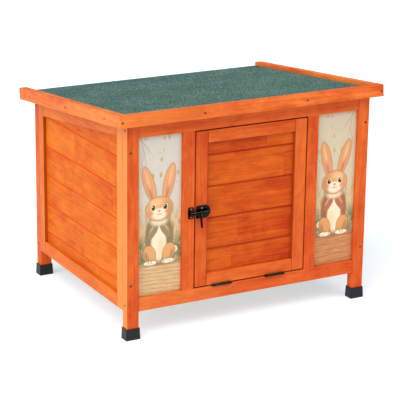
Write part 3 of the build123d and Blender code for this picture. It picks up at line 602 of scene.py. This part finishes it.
def picture(node, mirror, air, wood_colors, animal):
    """A printed board with a satin face and fine canvas grain."""
    pic = Picture(node, mirror)
    g = pic.g
    sky_and_twigs(pic, **air)
    meadow(pic)
    deck(pic, **wood_colors)
    rabbit(pic, **animal)
    tufts = g.remap(pic.noise((7.0, 1.2), 5.0, 3.0, 0.6), 0.5, 0.58)
    pic.wash(g.math("MULTIPLY", tufts, pic.band(0.64, 0.78, 0.1)), srgb(84, 94, 58), 0.6)
    paper = pic.noise((1.0, 1.0), 55.0, 3.0, 0.7)
    pic.color = g.mix(g.remap(paper, 0.35, 0.65, 0.0, 0.16), pic.color, srgb(150, 126, 96))
    # painted shade along the panel's edges, where it sits back in the frame
    frame_shade = g.add("ShaderNodeAmbientOcclusion", {"Distance": 0.009}, samples=8)
    pic.wash(g.remap(frame_shade.outputs["AO"], 0.35, 0.8, 1.0, 0.0), srgb(92, 58, 40), 0.25)
    rough = g.math("MULTIPLY_ADD", paper, 0.15, 0.4)
    weave = g.noise(g.place(), 900.0, 2.0, 0.5)
    return g.surface(pic.color, rough, g.bump(weave, 0.1, 0.0002), **{"Specular IOR Level": 0.25})


LEFT_PICTURE = dict(
    air=dict(sky=srgb(215, 207, 192), haze=srgb(214, 182, 126), leaf_color=srgb(200, 148, 84)),
    wood_colors=dict(plank_light=srgb(226, 194, 142), plank_dark=srgb(194, 144, 96), planks=12.0),
    animal=dict(fur=srgb(224, 158, 98), coat=srgb(150, 128, 90)),
)
RIGHT_PICTURE = dict(
    air=dict(sky=srgb(214, 196, 167), haze=srgb(210, 188, 144), leaf_color=srgb(212, 162, 84)),
    wood_colors=dict(plank_light=srgb(211, 148, 92), plank_dark=srgb(175, 98, 56), planks=7.5),
    animal=dict(fur=srgb(220, 150, 88), coat=srgb(178, 102, 66)),
)
give(["left_picture_panel"], picture("left_picture_panel", 1, **LEFT_PICTURE))
give(["right_picture_panel"], picture("right_picture_panel", -1, **RIGHT_PICTURE))


# ---- Soft edges --------------------------------------------------------------------------
EDGE_RADIUS = 0.0008


def soften(piece):
    """Join the faces that lie in one plane, then round the edges."""
    merge = piece.modifiers.new("flat faces", "DECIMATE")
    merge.decimate_type = "DISSOLVE"
    merge.angle_limit = math.radians(1)
    bevel = piece.modifiers.new("soft edges", "BEVEL")
    bevel.width = EDGE_RADIUS
    bevel.segments = 2
    bevel.limit_method = "ANGLE"
    bevel.angle_limit = math.radians(40)
    bevel.harden_normals = True


for node in WOODS:
    soften(NODES[node])


# ---- Floor, light, camera -----------------------------------------------------------------
def studio_floor(half_width):
    """Pale paper that glows a little, so that shadows and orange reflections on it stay faint."""
    corners = [(x * half_width, y * half_width, 0) for x, y in ((-1, -1), (1, -1), (1, 1), (-1, 1))]
    mesh = bpy.data.meshes.new("studio_floor")
    mesh.from_pydata(corners, [], [(0, 1, 2, 3)])
    floor = bpy.data.objects.new("studio_floor", mesh)
    bpy.context.scene.collection.objects.link(floor)
    g = Graph("studio_paper")
    grain = g.noise(g.place(), 300.0, 2.0, 0.5)
    color = g.mix(grain, (0.63, 0.63, 0.63), (0.65, 0.65, 0.65))
    glow = {"Emission Color": (0.366, 0.458, 0.523, 1), "Emission Strength": 1.0}
    mesh.materials.append(g.surface(color, 0.9, **glow, **{"Specular IOR Level": 0.0}))


def studio_world(strength):
    world = bpy.data.worlds.new("studio")
    world.use_nodes = True
    background = world.node_tree.nodes["Background"]
    background.inputs[0].default_value = (1, 1, 1, 1)
    background.inputs[1].default_value = strength
    bpy.context.scene.world = world


def soft_sun(name, azimuth, elevation, spread, strength):
    """A broad light from far off, as from a large softbox; azimuth 0 is in front, 90 on the left."""
    light = bpy.data.lights.new(name, "SUN")
    light.energy = strength
    light.angle = math.radians(spread)
    holder = bpy.data.objects.new(name, light)
    turn, rise = math.radians(azimuth), math.radians(elevation)
    source = Vector((-math.sin(turn) * math.cos(rise), -math.cos(turn) * math.cos(rise), math.sin(rise)))
    holder.rotation_euler = source.to_track_quat("Z", "Y").to_euler()
    bpy.context.scene.collection.objects.link(holder)


def studio_camera(location, yaw, pitch, roll, lens):
    """A camera turned right by yaw and down by pitch from straight ahead; angles in degrees."""
    yaw, pitch, roll = (math.radians(angle) for angle in (yaw, pitch, roll))
    forward = Vector((math.sin(yaw) * math.cos(pitch), math.cos(yaw) * math.cos(pitch), -math.sin(pitch)))
    level = Vector((math.cos(yaw), -math.sin(yaw), 0))
    upright = level.cross(forward)
    right = level * math.cos(roll) + upright * math.sin(roll)
    up = upright * math.cos(roll) - level * math.sin(roll)
    data = bpy.data.cameras.new("camera")
    data.sensor_width = 36
    data.lens = lens
    data.clip_end = 100
    camera = bpy.data.objects.new("camera", data)
    turn = Matrix((right, up, -forward)).transposed().to_4x4()
    camera.matrix_world = Matrix.Translation(location) @ turn
    bpy.context.scene.collection.objects.link(camera)
    bpy.context.scene.camera = camera


studio_floor(half_width=40.0)
studio_world(strength=0.3)
bpy.context.scene.view_settings.view_transform = "Standard"
soft_sun("key", azimuth=68, elevation=36, spread=60, strength=2.4)
soft_sun("top", azimuth=12, elevation=66, spread=65, strength=1.65)
soft_sun("glint", azimuth=-41.5, elevation=46, spread=6, strength=0.35)
studio_camera((-1.80823, -3.31020, 1.38602), yaw=28.7726, pitch=17.3519, roll=0.7427, lens=152.18)
